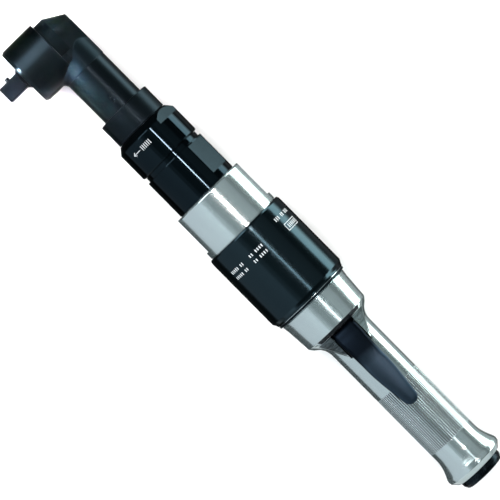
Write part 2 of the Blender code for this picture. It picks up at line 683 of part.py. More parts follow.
clear_scene()
parts = new_collection("air_ratchet", False)
helpers = new_collection("cutters", True)
materials = {slot: make_material(slot) for slot in COLOURS}

make_angle_head()
make_neck_collar()
make_coupling_nut()
make_nose_bearing()
make_spindle()
make_bevel_gears()
make_pinion_bearings()
make_gear_case()
make_planetary()
make_motor_housing()
make_end_plates()
make_cylinder_liner()
make_rotor()
make_handle()
make_sleeve()
make_tail()
make_inlet_screen()
make_valve()
make_lever()
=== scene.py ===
"""Looks of a right-angle air nutrunner, sold in the "air ratchet" family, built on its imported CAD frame.

Shapes are in millimetres and the scene is in metres: MILLIMETRE turns one into the other. Lamps and the
camera are placed in metres. The square drive points along -Y, the tool runs along +X from head to inlet, and
+Z carries the lever.
"""

from math import ceil, cos, pi, radians, sin, sqrt, tan, tau

import bmesh
import bpy
from mathutils import Matrix, Vector


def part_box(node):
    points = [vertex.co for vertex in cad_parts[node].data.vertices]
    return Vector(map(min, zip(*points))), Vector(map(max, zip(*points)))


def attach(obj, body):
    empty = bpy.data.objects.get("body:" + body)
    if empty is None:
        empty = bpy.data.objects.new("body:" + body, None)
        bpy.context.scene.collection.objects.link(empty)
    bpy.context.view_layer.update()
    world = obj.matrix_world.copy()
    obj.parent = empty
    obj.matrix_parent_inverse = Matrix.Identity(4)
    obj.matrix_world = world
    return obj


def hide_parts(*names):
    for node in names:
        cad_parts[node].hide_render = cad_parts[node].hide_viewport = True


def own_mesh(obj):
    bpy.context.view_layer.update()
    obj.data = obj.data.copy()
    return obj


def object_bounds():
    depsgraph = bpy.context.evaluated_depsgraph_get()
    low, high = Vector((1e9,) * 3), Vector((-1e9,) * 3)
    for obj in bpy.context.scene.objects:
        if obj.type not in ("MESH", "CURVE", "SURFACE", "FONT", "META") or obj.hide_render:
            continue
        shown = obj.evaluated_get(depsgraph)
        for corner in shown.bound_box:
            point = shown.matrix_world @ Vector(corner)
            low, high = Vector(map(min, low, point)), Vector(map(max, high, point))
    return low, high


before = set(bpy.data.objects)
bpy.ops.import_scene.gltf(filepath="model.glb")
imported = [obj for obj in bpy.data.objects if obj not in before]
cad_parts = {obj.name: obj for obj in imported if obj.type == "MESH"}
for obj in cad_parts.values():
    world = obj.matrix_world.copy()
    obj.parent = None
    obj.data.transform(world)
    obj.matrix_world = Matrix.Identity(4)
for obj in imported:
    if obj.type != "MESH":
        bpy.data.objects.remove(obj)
CAD_LOW, CAD_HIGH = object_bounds()

MILLIMETRE = 0.001
MICRON = 0.000001
SLEEVE_LOW, SLEEVE_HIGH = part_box("grip_sleeve")
AXIS_Y = (SLEEVE_LOW.y + SLEEVE_HIGH.y) / 2 / MILLIMETRE

STEPS = 192               # steps round a turned part
SMALL_STEPS = 64          # steps round a small one
ARC_STEP = radians(11.0)
SUPPORT = 0.18            # distance of the loop that keeps a corner's shading off the flat beside it
SHARP_ANGLE = radians(17.0)

# Angle head: heights along +Y
HEAD_BOTTOM = 13.8
HEAD_LEDGE = 35.9
HEAD_SHOULDER = 42.3
HEAD_TOP = 53.3
HEAD_RADIUS = 17.65
HEAD_UPPER_RADIUS = 15.6
HEAD_TOP_RADIUS = 9.0
NECK_ROOT_X = 7.0         # the forging keeps its full radius beyond here, towards the neck
NECK_ROOT_Y = 38.9
SQUARE_SIDE = 9.525       # 3/8 inch
SPINDLE_WAIST = 5.2
DETENT_Y = 6.8            # where the detent pin crosses the square

# Neck: distances along +X
NECK_BOSS_RADIUS = 13.05
NECK_RADIUS = 12.8
NECK_END = 66.0
FLANGE_RADIUS = 15.5
FLANGE_END = 70.2
FILLET = 1.5              # how far the fillet under the neck stands out
FILLET_REACH = 2.3        # how far it runs along the neck

# Barrel
COLLAR_START = 47.7
COLLAR_END = 61.7
NUT_START = 62.0
NUT_END = 83.0
NUT_RADIUS = 19.25
CASE_START = 70.5
CASE_END = 116.0
CASE_SHOULDER = 86.1
CASE_SHOULDER_END = 110.6
CASE_RADIUS = 19.15
HOUSING_START = 110.9
HOUSING_STEP = 138.0      # its radius drops here, just before the sleeve
HOUSING_END = 190.1
HOUSING_RADIUS = 23.2
SLEEVE_START = 138.3
SLEEVE_END = 188.5
SLEEVE_RADIUS = 25.0

# Milled flats: turn about the tool axis, and distances from it
FLAT_TURN = -54.0
NUT_FLAT = 16.7
CASE_FLAT = 17.5
HOUSING_FLAT = 21.85

# Handle
HANDLE_START = 169.7
COLLAR_FRONT = 190.4      # the handle's own front collar
SLOT_START = 208.3        # the lever's slot, and the cross slot at its front
GRIP_RADIUS = 13.9
REEDS = 68
REED_DEPTH = 0.40
REED_START = 253.3
REED_END = 294.2
HANDLE_END = 315.6
TAIL_END = 320.9
PIVOT_X = 213.5
PIVOT_Z = 14.0
VALVE_X = 226.0

# Printed marks
PRINT_SINK = 0.01
PRINT_RISE = 0.03

# Finishes, and colours of painted shade
EDGE_ROUNDING = 0.2       # corners are shaded as if rounded by this much
TURNED_ALONG_X = (5200.0, 60.0, 60.0)
TURNED_ALONG_Y = (60.0, 5200.0, 60.0)
DRAWN_ALONG_X = (40.0, 2400.0, 2400.0)
GRAINED = (900.0, 900.0, 900.0)
# painted shade: the colour of the upper head, darker than its black
UPPER_HEAD_SHADE = (0.0052, 0.0088, 0.0112)
BLASTED_BLACK = (0.0090, 0.0160, 0.0210)
# painted shade in the bottoms of the reeding
REED_SHADE = (0.012, 0.018, 0.020)
# the dark and pale ends of the painted shade on the facets beside the lever's slot
FACET_SHADE_DARK = (0.022, 0.033, 0.037)
FACET_SHADE_PALE = (0.11, 0.145, 0.157)
FACET_START = 210.3       # milled facets beside the lever's slot
FACET_SLOPE = 0.585       # they narrow by this much for each millimetre along the handle
FACET_REACH = 138.8
# painted shade on the lever towards its pivot
LEVER_ROOT_SHADE = (0.0046, 0.0076, 0.0122)

# Studio
WHITE = (1.0, 1.0, 1.0)
ROOM_COLOUR = (0.80, 0.97, 1.0)
STRIP_TURN = 12.6         # the long lamp above the tool, in degrees from straight up
STRIP_WIDTH = 0.040
FLOOR_GAP = 0.0003

# Camera
LENS = 230.9
CAMERA_SPOT = (0.1155, 0.0350, 1.7)
CAMERA_TARGET = (0.1487, 0.0348, 0.0)
CAMERA_RIGHT = (0.7036, 0.7106, 0.0)


# ---- placing


def along_tool(x=0.0, y=AXIS_Y, z=0.0):
    """Local +Z becomes +X, with the origin on the tool axis unless y says otherwise."""
    return Matrix.Translation((x, y, z)) @ Matrix.Rotation(radians(90.0), 4, "Y")


def along_head(x=0.0, y=0.0, z=0.0):
    """Local +Z becomes +Y."""
    return Matrix.Translation((x, y, z)) @ Matrix.Rotation(radians(-90.0), 4, "X")


def upright(x=0.0):
    """Local +Z stays +Z, with the origin on the tool axis."""
    return Matrix.Translation((x, AXIS_Y, 0.0))


# ---- mesh code


def arc_points(before, corner, after, radius):
    """Points of the arc that rounds one corner of a profile."""
    to_before = before - corner
    to_after = after - corner
    opening = to_before.angle(to_after, 0.0)
    if opening < 1e-3 or opening > pi - 1e-3:
        return [corner]
    reach = radius / tan(opening / 2)
    reach = min(reach, 0.47 * to_before.length, 0.47 * to_after.length)
    radius = reach * tan(opening / 2)
    middle = (to_before.normalized() + to_after.normalized()).normalized()
    centre = corner + middle * radius / sin(opening / 2)
    first = corner + to_before.normalized() * reach - centre
    last = corner + to_after.normalized() * reach - centre
    sweep = pi - opening
    count = max(2, ceil(sweep / ARC_STEP))
    points = []
    for i in range(count + 1):
        share = i / count
        weight_first = sin((1 - share) * sweep) / sin(sweep)
        weight_last = sin(share * sweep) / sin(sweep)
        points.append(centre + first * weight_first + last * weight_last)
    return points


def soften(profile, closed):
    """Round each (height, radius, corner) point of a profile and put support loops beside the arcs."""
    count = len(profile)
    points = []
    for i, entry in enumerate(profile):
        corner = Vector(entry[:2])
        at_end = not closed and i in (0, count - 1)
        if len(entry) < 3 or at_end:
            points.append(corner)
            continue
        before = Vector(profile[i - 1][:2])
        after = Vector(profile[(i + 1) % count][:2])
        points.extend(arc_points(before, corner, after, entry[2]))
    supported = []
    pairs = list(zip(points, points[1:]))
    if closed:
        pairs.append((points[-1], points[0]))
    for first, second in pairs:
        supported.append(first)
        gap = second - first
        if gap.length > 4 * SUPPORT:
            supported.append(first + gap.normalized() * SUPPORT)
            supported.append(second - gap.normalized() * SUPPORT)
    if not closed:
        supported.append(points[-1])
    return supported


def link_object(name, data):
    obj = bpy.data.objects.new(name, data)
    bpy.context.scene.collection.objects.link(obj)
    return obj


def new_object(name, shape, place=Matrix.Identity(4)):
    """Place a bmesh that is in millimetres and turn it into an object in metres."""
    bmesh.ops.transform(shape, matrix=place, verts=shape.verts)
    bmesh.ops.scale(shape, vec=(MILLIMETRE,) * 3, verts=shape.verts)
    bmesh.ops.recalc_face_normals(shape, faces=shape.faces)
    mesh = bpy.data.meshes.new(name)
    shape.to_mesh(mesh)
    shape.free()
    return link_object(name, mesh)


def lathe(name, profile, place, closed=False, steps=STEPS, reshape=None):
    """Solid of revolution about local +Z. reshape(height, radius, angle) may change a point's radius."""
    rows = soften(profile, closed)
    shape = bmesh.new()
    made = []
    for height, radius in rows:
        if radius < 1e-6:
            made.append([shape.verts.new((0.0, 0.0, height))])
            continue
        row = []
        for i in range(steps):
            angle = tau * i / steps
            here = reshape(height, radius, angle) if reshape else radius
            row.append(shape.verts.new((here * cos(angle), here * sin(angle), height)))
        made.append(row)
    pairs = list(zip(made, made[1:]))
    if closed:
        pairs.append((made[-1], made[0]))
    for first, second in pairs:
        for i in range(steps):
            j = (i + 1) % steps
            corners = [first[i % len(first)], first[j % len(first)],
                       second[j % len(second)], second[i % len(second)]]
            unique = list(dict.fromkeys(corners))
            if len(unique) > 2:
                shape.faces.new(unique)
    return new_object(name, shape, place)


def ring(name, outer, inner, place=along_tool()):
    """Hollow solid of revolution from an outer and an inner profile, both by rising height."""
    return lathe(name, [*outer, *reversed(inner)], place, True)


def turned(name, profile, place, steps=SMALL_STEPS, reshape=None):
    """Solid of revolution from one row of (height, radius, corner), with flat ends."""
    closed_ends = [(profile[0][0], 0.0), *profile, (profile[-1][0], 0.0)]
    return lathe(name, closed_ends, place, False, steps, reshape)


def bore(name, start, end, radius, place, steps=SMALL_STEPS):
    """Plain round bar, mostly used as a drill."""
    return turned(name, [(start, radius), (end, radius)], place, steps)


def skin(name, rings, place=Matrix.Identity(4)):
    """Skin equal closed rings of points and cap both ends."""
    shape = bmesh.new()
    rows = [[shape.verts.new(point) for point in points] for points in rings]
    count = len(rows[0])
    for first, second in zip(rows, rows[1:]):
        for i in range(count):
            j = (i + 1) % count
            shape.faces.new((first[i], first[j], second[j], second[i]))
    shape.faces.new(rows[0])
    shape.faces.new(list(reversed(rows[-1])))
    return new_object(name, shape, place)


def spring(name, turns, start, end, radius, wire, place):
    """Compression spring with round wire."""
    per_turn = 40
    around = 12
    count = turns * per_turn
    rings = []
    for i in range(count + 1):
        angle = tau * i / per_turn
        outward = Vector((cos(angle), sin(angle), 0.0))
        centre = outward * radius + Vector((0.0, 0.0, start + (end - start) * i / count))
        points = []
        for j in range(around):
            turn = tau * j / around
            across = outward * cos(turn) + Vector((0.0, 0.0, sin(turn)))
            points.append(centre + across * wire)
        rings.append(points)
    return skin(name, rings, place)


def block(name, low, high, place=Matrix.Identity(4), rounding=0.0):
    """Milling cutter or plate, with rounded edges if asked."""
    shape = bmesh.new()
    bmesh.ops.create_cube(shape, size=1.0)
    bmesh.ops.scale(shape, vec=Vector(high) - Vector(low), verts=shape.verts)
    bmesh.ops.translate(shape, vec=(Vector(low) + Vector(high)) / 2, verts=shape.verts)
    if rounding:
        bmesh.ops.bevel(shape, geom=list(shape.edges), offset=rounding, segments=4, profile=0.5,
                        affect="EDGES")
    return new_object(name, shape, place)


def combine(target, others, operation):
    """Apply Boolean modifiers to the target and remove the other objects."""
    for other in others:
        modifier = target.modifiers.new(other.name, "BOOLEAN")
        modifier.operation = operation
        modifier.solver = "EXACT"
        modifier.material_mode = "TRANSFER" if other.data.materials else "INDEX"
        modifier.object = other
    graph = bpy.context.evaluated_depsgraph_get()
    mesh = bpy.data.meshes.new_from_object(target.evaluated_get(graph))
    target.modifiers.clear()
    target.data = mesh
    for other in others:
        bpy.data.objects.remove(other)
    return target


def cut(target, *others):
    return combine(target, others, "DIFFERENCE")


def join(target, *others):
    return combine(target, others, "UNION")


def flat_cutters(start, end, distance, turn):
    """Two cutters that mill a pair of opposite flats at this distance from the tool axis."""
    made = []
    for side, extra in (("near", 0.0), ("far", 180.0)):
        place = upright() @ Matrix.Rotation(radians(turn + extra), 4, "X")
        made.append(block("cutter_" + side, (start, -40.0, distance), (end, 40.0, 60.0), place))
    return made


def settle(obj, body, material, slot, *replaced):
    """Shade a finished piece and hand it to the frame. Faces left by a cutter keep the cutter's material."""
    if not obj.data.materials:
        obj.data.materials.append(material)
    obj.data.materials[0] = material
    for face in obj.data.polygons:
        face.use_smooth = True
    obj.data.set_sharp_from_angle(angle=SHARP_ANGLE)
    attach(obj, body)
    if replaced:
        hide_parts(*replaced)
    return obj


def smooth_step(low, high, value):
    """0 below low, 1 above high, smooth between them."""
    share = min(1.0, max(0.0, (value - low) / (high - low)))
    return share * share * (3 - 2 * share)


def between(keys, x):
    """Smooth value at x through rows of (x, value, value, ...), by Catmull-Rom."""
    index = 0
    while index < len(keys) - 2 and x > keys[index + 1][0]:
        index += 1
    low, high = keys[index], keys[index + 1]
    before = keys[max(0, index - 1)]
    after = keys[min(len(keys) - 1, index + 2)]
    width = high[0] - low[0]
    share = (x - low[0]) / width
    values = []
    for k in range(1, len(low)):
        slope_low = (high[k] - before[k]) / (high[0] - before[0]) * width
        slope_high = (after[k] - low[k]) / (after[0] - low[0]) * width
        a = 2 * share ** 3 - 3 * share ** 2 + 1
        b = share ** 3 - 2 * share ** 2 + share
        c = -2 * share ** 3 + 3 * share ** 2
        d = share ** 3 - share ** 2
        values.append(a * low[k] + b * slope_low + c * high[k] + d * slope_high)
    return values


def along_keys(keys, count):
    """Rows of (x, value, value, ...) in this many equal steps from the first key to the last."""
    start, end = keys[0][0], keys[-1][0]
    for i in range(count + 1):
        x = start + (end - start) * i / count
        yield (x, *between(keys, x))


# ---- material nodes


def add_node(tree, kind, inputs=None, **settings):
    """New node. A socket among the inputs is linked, and anything else is set."""
    made = tree.nodes.new(kind)
    for key, value in settings.items():
        setattr(made, key, value)
    for key, value in (inputs or {}).items():
        if isinstance(value, bpy.types.NodeSocket):
            tree.links.new(value, made.inputs[key])
        else:
            made.inputs[key].default_value = value
    return made


def new_material(name, metallic, roughness, tint=1.0):
    made = bpy.data.materials.new(name)
    made.use_nodes = True
    shader = made.node_tree.nodes["Principled BSDF"]
    shader.inputs["Metallic"].default_value = metallic
    shader.inputs["Roughness"].default_value = roughness
    shader.inputs["Specular Tint"].default_value = (tint, tint, tint, 1.0)
    return made, made.node_tree, shader


def object_point(tree):
    return add_node(tree, "ShaderNodeTexCoord").outputs["Object"]


def axis_parts(tree, point):
    """X, Y and Z of a point."""
    parts = add_node(tree, "ShaderNodeSeparateXYZ", {0: point}).outputs
    return parts["X"], parts["Y"], parts["Z"]


def stretched_noise(tree, point, scale, detail=3.0, roughness=0.5, shift=0.0):
    """Noise with its own scale per metre along each axis. A large scale beside small ones gives lines."""
    mapping = add_node(tree, "ShaderNodeMapping", {"Vector": point, "Location": (shift,) * 3, "Scale": scale})
    noise = add_node(tree, "ShaderNodeTexNoise", {"Vector": mapping.outputs["Vector"], "Scale": 1.0,
                                                  "Detail": detail, "Roughness": roughness})
    return noise.outputs["Fac"]


def remap(tree, value, low, high, to_low, to_high):
    made = add_node(tree, "ShaderNodeMapRange", {"Value": value, "From Min": low, "From Max": high,
                                                 "To Min": to_low, "To Max": to_high})
    made.clamp = True
    return made.outputs["Result"]


def step_up(tree, value, low, high):
    """0 below low and 1 above high, both in millimetres."""
    return remap(tree, value, low * MILLIMETRE, high * MILLIMETRE, 0.0, 1.0)


def step_down(tree, value, low, high):
    """1 below low and 0 above high, both in millimetres."""
    return remap(tree, value, low * MILLIMETRE, high * MILLIMETRE, 1.0, 0.0)


def math_node(tree, operation, first, second=0.0):
    return add_node(tree, "ShaderNodeMath", {0: first, 1: second}, operation=operation).outputs[0]


def vector_node(tree, operation, first, second):
    made = add_node(tree, "ShaderNodeVectorMath", {0: first, 1: second}, operation=operation)
    return made.outputs["Value" if operation == "DOT_PRODUCT" else "Vector"]


def product(tree, first, *others):
    for other in others:
        first = math_node(tree, "MULTIPLY", first, other)
    return first


def weighted(tree, first, first_weight, second, second_weight):
    return math_node(tree, "ADD", product(tree, first, first_weight), product(tree, second, second_weight))


def mixed_number(tree, share, first, second):
    return add_node(tree, "ShaderNodeMix", {"Factor": share, "A": first, "B": second}).outputs[0]


def mixed_colour(tree, share, first, second):
    made = add_node(tree, "ShaderNodeMix", {"Factor": share}, data_type="RGBA")
    colours = [socket for socket in made.inputs if socket.type == "RGBA"]
    for socket, colour in zip(colours, (first, second)):
        if isinstance(colour, bpy.types.NodeSocket):
            tree.links.new(colour, socket)
        else:
            socket.default_value = (*colour, 1.0)
    return [socket for socket in made.outputs if socket.type == "RGBA"][0]


def softened_normal(tree, radius):
    """Normal of the surface as if its corners were rounded by this radius, in metres."""
    return add_node(tree, "ShaderNodeBevel", {"Radius": radius}, samples=4).outputs["Normal"]


def edge_mask(tree, radius):
    """1 on the rounded corners of a part, 0 on its open faces."""
    normal = add_node(tree, "ShaderNodeNewGeometry").outputs["Normal"]
    likeness = vector_node(tree, "DOT_PRODUCT", softened_normal(tree, radius), normal)
    return remap(tree, likeness, 0.995, 0.90, 0.0, 1.0)


def distance_from_axis(tree, point):
    """Distance from the tool axis, in metres."""
    centred = vector_node(tree, "SUBTRACT", point, (0.0, AXIS_Y * MILLIMETRE, 0.0))
    across = vector_node(tree, "MULTIPLY", centred, (0.0, 1.0, 1.0))
    return add_node(tree, "ShaderNodeVectorMath", {0: across}, operation="LENGTH").outputs["Value"]


def metal(name, colours, roughness, lines, depth, metallic=1.0, tint=1.0, worn=None, wear=0.35,
          mottling=60.0, changes=None):
    """Finish with two tones that mottle, tool lines in roughness and relief, and corners worn paler.

    roughness is a pair, its least and most. lines is the scale of the tool lines along each axis, and depth
    is theirs in microns. changes(tree, point, colour, roughness) may return another colour and roughness for
    one region of a part.
    """
    material, tree, shader = new_material(name, metallic, roughness[0], tint)
    point = object_point(tree)
    patches = stretched_noise(tree, point, (mottling,) * 3, 4.0, 0.6)
    fine = stretched_noise(tree, point, (2600.0,) * 3, 2.0, 0.5, 3.0)
    tool = stretched_noise(tree, point, lines, 3.0, 0.62, 7.0)
    tone = weighted(tree, patches, 0.6, tool, 0.4)
    colour = mixed_colour(tree, remap(tree, tone, 0.3, 0.7, 0.0, 1.0), *colours)
    rough = remap(tree, weighted(tree, tool, 0.7, patches, 0.3), 0.3, 0.7, *roughness)
    if changes is not None:
        colour, rough = changes(tree, point, colour, rough)
    if worn is not None:
        corner = edge_mask(tree, EDGE_ROUNDING * 1.6 * MILLIMETRE)
        broken = remap(tree, patches, 0.42, 0.62, 0.25, 1.0)
        colour = mixed_colour(tree, product(tree, corner, broken, wear), colour, worn)
    relief = math_node(tree, "ADD", tool, product(tree, fine, 0.25))
    bump = add_node(tree, "ShaderNodeBump", {"Height": relief, "Distance": depth * MICRON, "Strength": 1.0,
                                             "Normal": softened_normal(tree, EDGE_ROUNDING * MILLIMETRE)})
    tree.links.new(colour, shader.inputs["Base Color"])
    tree.links.new(rough, shader.inputs["Roughness"])
    tree.links.new(bump.outputs["Normal"], shader.inputs["Normal"])
    return material


def head_finish_and_shade(tree, point, colour, roughness):
    """The lower head is turned. Above the ledge it keeps its rough forging skin, painted darker as shade, and
    the root of the neck is blasted.
    """
    x, y, _ = axis_parts(tree, point)
    above_ledge = step_up(tree, y, HEAD_LEDGE, HEAD_LEDGE + 0.3)
    before_neck = step_down(tree, x, 17.5, 18.5)
    forged_and_shaded = product(tree, above_ledge, before_neck)
    # painted shade above the ledge; the rougher finish there is the forging's own
    colour = mixed_colour(tree, forged_and_shaded, colour, UPPER_HEAD_SHADE)
    roughness = mixed_number(tree, forged_and_shaded, roughness, 0.62)
    past_slant = step_up(tree, math_node(tree, "ADD", x, y), 50.0, 51.2)
    before_step = step_down(tree, x, 19.3, 19.7)
    on_neck = step_down(tree, distance_from_axis(tree, point), 13.30, 13.45)
    upper_half = step_up(tree, y, 32.0, 42.0)
    blasted = product(tree, past_slant, before_step, on_neck, upper_half)
    return mixed_colour(tree, blasted, colour, BLASTED_BLACK), mixed_number(tree, blasted, roughness, 0.44)


def reed_shade_mask(tree, point):
    """1 in the bottoms of the reeding, where shade is painted."""
    low = GRIP_RADIUS - REED_DEPTH * 0.50
    high = GRIP_RADIUS - REED_DEPTH * 0.08
    bottom = step_down(tree, distance_from_axis(tree, point), low, high)
    x = axis_parts(tree, point)[0]
    past_start = step_up(tree, x, REED_START, REED_START + 0.2)
    before_end = step_down(tree, x, REED_END - 0.2, REED_END)
    return product(tree, bottom, past_start, before_end)


def facet_shade_mask(tree, point):
    """1 on the facets that the cutter left on both sides of the lever's slot, which narrow along the handle,
    and where shade is painted.
    """
    x, y, z = axis_parts(tree, point)
    aside = math_node(tree, "ABSOLUTE", math_node(tree, "SUBTRACT", y, AXIS_Y * MILLIMETRE))
    wedge = math_node(tree, "ADD", aside, product(tree, x, FACET_SLOPE))
    return product(tree, step_down(tree, wedge, FACET_REACH, FACET_REACH + 0.4),
                   step_up(tree, x, FACET_START, FACET_START + 0.3), step_up(tree, z, 0.0, 2.0))


def grip_finish_and_shade(tree, point, colour, roughness):
    """Painted shade in the bottoms of the reeding, and painted shade streaked dark to pale along the handle
    on the dull facets beside the lever's slot.
    """
    groove_shade = reed_shade_mask(tree, point)
    # painted shade: the groove bottoms get a dark colour, and a duller roughness
    colour = mixed_colour(tree, groove_shade, colour, REED_SHADE)
    roughness = mixed_number(tree, groove_shade, roughness, 0.55)
    facet = facet_shade_mask(tree, point)
    streaks = stretched_noise(tree, point, (900.0, 60.0, 60.0), 3.0, 0.6, 5.0)
    # painted shade on the facets, streaked dark to pale along the handle; their duller roughness is the
    # machined finish
    painted_facet_shade = mixed_colour(tree, remap(tree, streaks, 0.38, 0.62, 0.0, 1.0), FACET_SHADE_DARK, FACET_SHADE_PALE)
    return mixed_colour(tree, facet, colour, painted_facet_shade), mixed_number(tree, facet, roughness, 0.58)


def lever_shade(tree, point, colour, roughness):
    """The lever is darker towards its pivot: painted shade on its front, which slopes down towards the pivot.
    """
    x = axis_parts(tree, point)[0]
    patches = stretched_noise(tree, point, (90.0,) * 3, 3.0, 0.6, 1.0)
    shade_near_pivot = step_down(tree, math_node(tree, "ADD", x, product(tree, patches, 0.003)), 229.0, 237.0)
    return mixed_colour(tree, shade_near_pivot, colour, LEVER_ROOT_SHADE), roughness


def finish_group(rows, **shared):
    """Finishes by name, from rows of (name, tones, roughness, tool lines, their depth in microns, rest)."""
    return {row[0]: metal(*row[:5], **shared, **row[5]) for row in rows}


def black_finishes():
    """Blackened steel: satin oxide, the head, the dull collar, and the polished nut and gear case."""
    black = ((0.0088, 0.0142, 0.0182), (0.0108, 0.0172, 0.0222))
    polished = ((0.0096, 0.0172, 0.0225), (0.0112, 0.0200, 0.0262))
    rows = (("black_oxide", black, (0.25, 0.30), GRAINED, 2.5, dict(wear=0.5)),
            # the head's finish, with painted shade above its ledge
            ("black_head", black, (0.28, 0.33), GRAINED, 2.5, dict(wear=0.5, changes=head_finish_and_shade)),
            ("black_collar", black, (0.32, 0.38), GRAINED, 6.0, dict(wear=0.6)),
            ("black_polished", polished, (0.06, 0.10), TURNED_ALONG_X, 0.4, dict(wear=0.5)))
    return finish_group(rows, tint=0.7, worn=(0.06, 0.075, 0.085))


def dark_finishes():
    """The sleeve's semi-gloss coat, the lever's blue-black one, and the phosphated square drive."""
    sleeve = ((0.0188, 0.0335, 0.0415), (0.0215, 0.0380, 0.0470))
    lever = ((0.031, 0.052, 0.075), (0.039, 0.064, 0.092))
    drive = ((0.0058, 0.0084, 0.0115), (0.0085, 0.0118, 0.0156))
    rows = (("black_sleeve", sleeve, (0.15, 0.18), TURNED_ALONG_X, 0.8,
             dict(worn=(0.05, 0.065, 0.075), wear=0.4)),
            # the lever's coat, with painted shade towards its pivot
            ("lever_black", lever, (0.36, 0.44), (1500.0,) * 3, 10.0,
             dict(worn=(0.08, 0.10, 0.12), wear=0.3, changes=lever_shade)),
            ("drive_steel", drive, (0.34, 0.42), TURNED_ALONG_Y, 6.0,
             dict(worn=(0.08, 0.09, 0.10), wear=0.5)))
    return finish_group(rows, tint=0.7)


def silver_finishes():
    """Bare satin metal, turned on the motor housing and polished lengthwise on the handle."""
    silver = ((0.525, 0.630, 0.645), (0.590, 0.708, 0.724))
    rows = (("satin_silver", silver, (0.16, 0.21), TURNED_ALONG_X, 1.5, {}),
            # the handle's finish, with painted shade in the reeding and on the facets beside the lever's slot
            ("satin_grip", silver, (0.16, 0.21), DRAWN_ALONG_X, 1.5, dict(changes=grip_finish_and_shade)))
    return finish_group(rows, metallic=0.94, worn=(0.62, 0.72, 0.74), wear=0.4, mottling=25.0)


def inside_finishes():
    """Metals that show in gaps and when the tool is taken apart, and a dark steel that paints shade into the
    handle's slots and bores.
    """
    slot = ((0.030, 0.040, 0.045), (0.060, 0.075, 0.084))
    gear = ((0.30, 0.30, 0.31), (0.40, 0.40, 0.41))
    bearing = ((0.52, 0.52, 0.54), (0.64, 0.64, 0.66))
    bronze = ((0.40, 0.24, 0.09), (0.50, 0.32, 0.13))
    iron = ((0.20, 0.20, 0.21), (0.29, 0.29, 0.30))
    wire = ((0.36, 0.36, 0.38), (0.48, 0.48, 0.50))
    # painted shade: the dark steel of the faces cut into the handle's slots and bores
    rows = (("slot_steel", slot, (0.40, 0.55), TURNED_ALONG_X, 10.0, {}),
            ("gear_steel", gear, (0.24, 0.36), DRAWN_ALONG_X, 6.0, dict(worn=(0.62, 0.62, 0.62))),
            ("bearing_steel", bearing, (0.10, 0.20), TURNED_ALONG_X, 3.0, dict(worn=(0.75, 0.75, 0.76))),
            ("bronze", bronze, (0.30, 0.44), GRAINED, 10.0, dict(worn=(0.62, 0.42, 0.20))),
            ("iron_liner", iron, (0.34, 0.50), TURNED_ALONG_X, 10.0, dict(worn=(0.45, 0.45, 0.45))),
            ("spring_steel", wire, (0.20, 0.32), GRAINED, 4.0, {}))
    return finish_group(rows)


def soft_finishes():
    """Laminate, felt, rubber and printing ink."""
    laminate = ((0.16, 0.07, 0.02), (0.26, 0.13, 0.045))
    felt = ((0.20, 0.19, 0.18), (0.36, 0.35, 0.33))
    rubber = ((0.006, 0.007, 0.008), (0.010, 0.012, 0.014))
    ink = ((0.42, 0.46, 0.48), (0.58, 0.62, 0.64))
    rows = (("vane_phenolic", laminate, (0.5, 0.65), (700.0, 700.0, 90.0), 20.0, {}),
            ("felt_grey", felt, (0.85, 1.0), (1800.0,) * 3, 150.0, {}),
            ("seal_rubber", rubber, (0.55, 0.7), (1200.0,) * 3, 30.0, {}),
            ("print", ink, (0.45, 0.6), (1600.0,) * 3, 6.0, {}))
    return finish_group(rows, metallic=0.0)


def make_materials():
    """One finish for each material slot of the record, and a few variants of them."""
    return {**black_finishes(), **dark_finishes(), **silver_finishes(), **inside_finishes(),
            **soft_finishes()}


# ---- angle head


def neck_radius(height, radius, angle):
    """A fillet grows under the neck where it meets the head. Local +Y of the lathe is +Y."""
    down = -sin(angle)
    share = smooth_step(0.0, 0.55, down)
    if share == 0.0 or height > 24.0:
        return radius
    aside = radius * cos(angle)
    wall = sqrt(max(0.0, HEAD_RADIUS ** 2 - aside ** 2))
    left = 1.0 - max(0.0, height - wall) / FILLET_REACH
    if left <= 0.0:
        return radius
    return radius + FILLET * share * left * left


